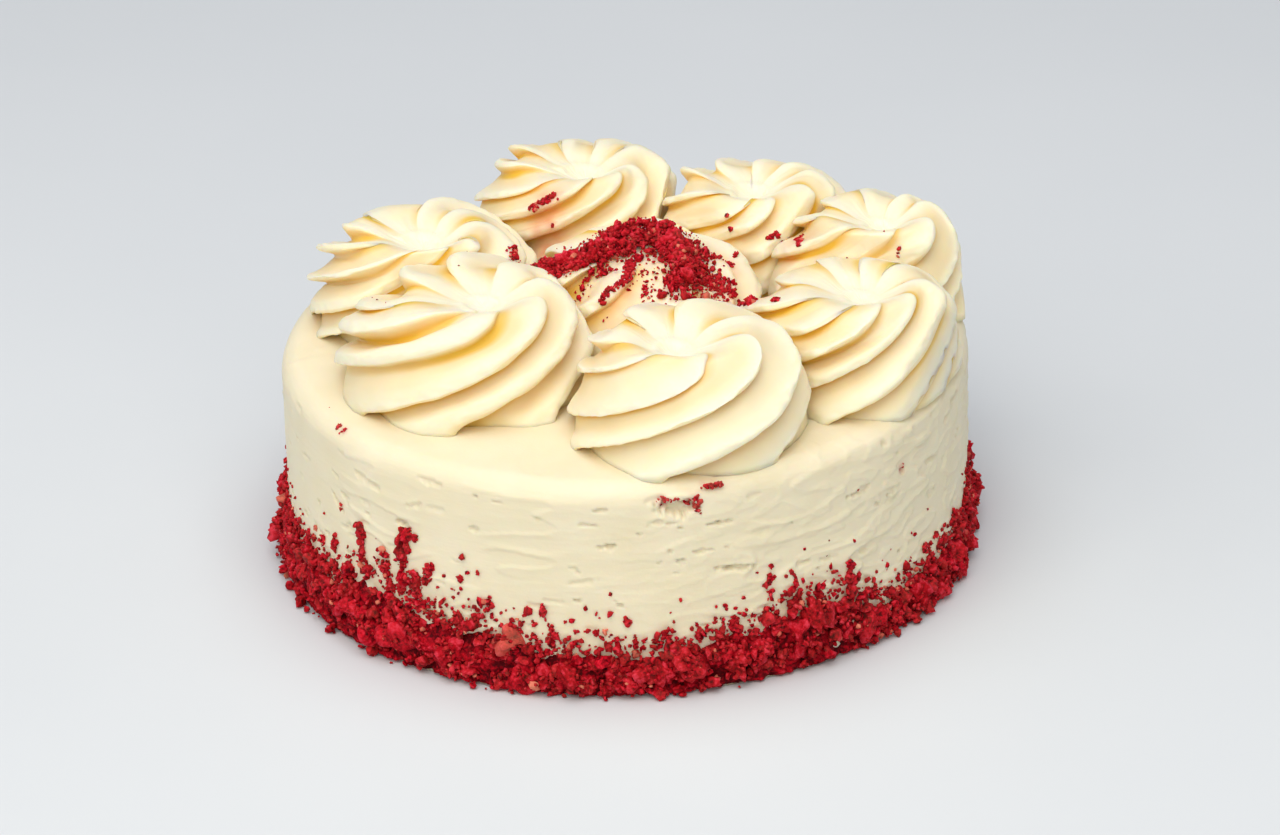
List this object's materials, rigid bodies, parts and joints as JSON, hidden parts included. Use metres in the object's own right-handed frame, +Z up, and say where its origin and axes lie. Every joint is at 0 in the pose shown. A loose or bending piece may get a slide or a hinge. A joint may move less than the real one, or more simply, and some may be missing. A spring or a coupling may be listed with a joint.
{
  "type": "red velvet cake",
  "caption": "Round cake covered in cream frosting, with a ring of piped rosettes on top and red cake crumbs round its foot and over the middle rosette.",
  "frame": {"origin": "centre of the cake's flat underside, on the surface that it stands on", "axes": "+Z up through the cake, -Y towards the front of the picture, +X to the right of the picture"},
  "size_m": [0.1942, 0.1933, 0.0889],
  "materials": {
    "frosting": "satin",
    "buttercream": "satin",
    "cake_crumb": "matte"
  },
  "bodies": {
    "root": {"cake": "frosting", "rosette_front": "buttercream", "rosette_front_right": "buttercream", "rosette_right": "buttercream", "rosette_back": "buttercream", "rosette_back_left": "buttercream", "rosette_left": "buttercream", "rosette_front_left": "buttercream", "rosette_centre": "buttercream"}
  },
  "joints": []
}
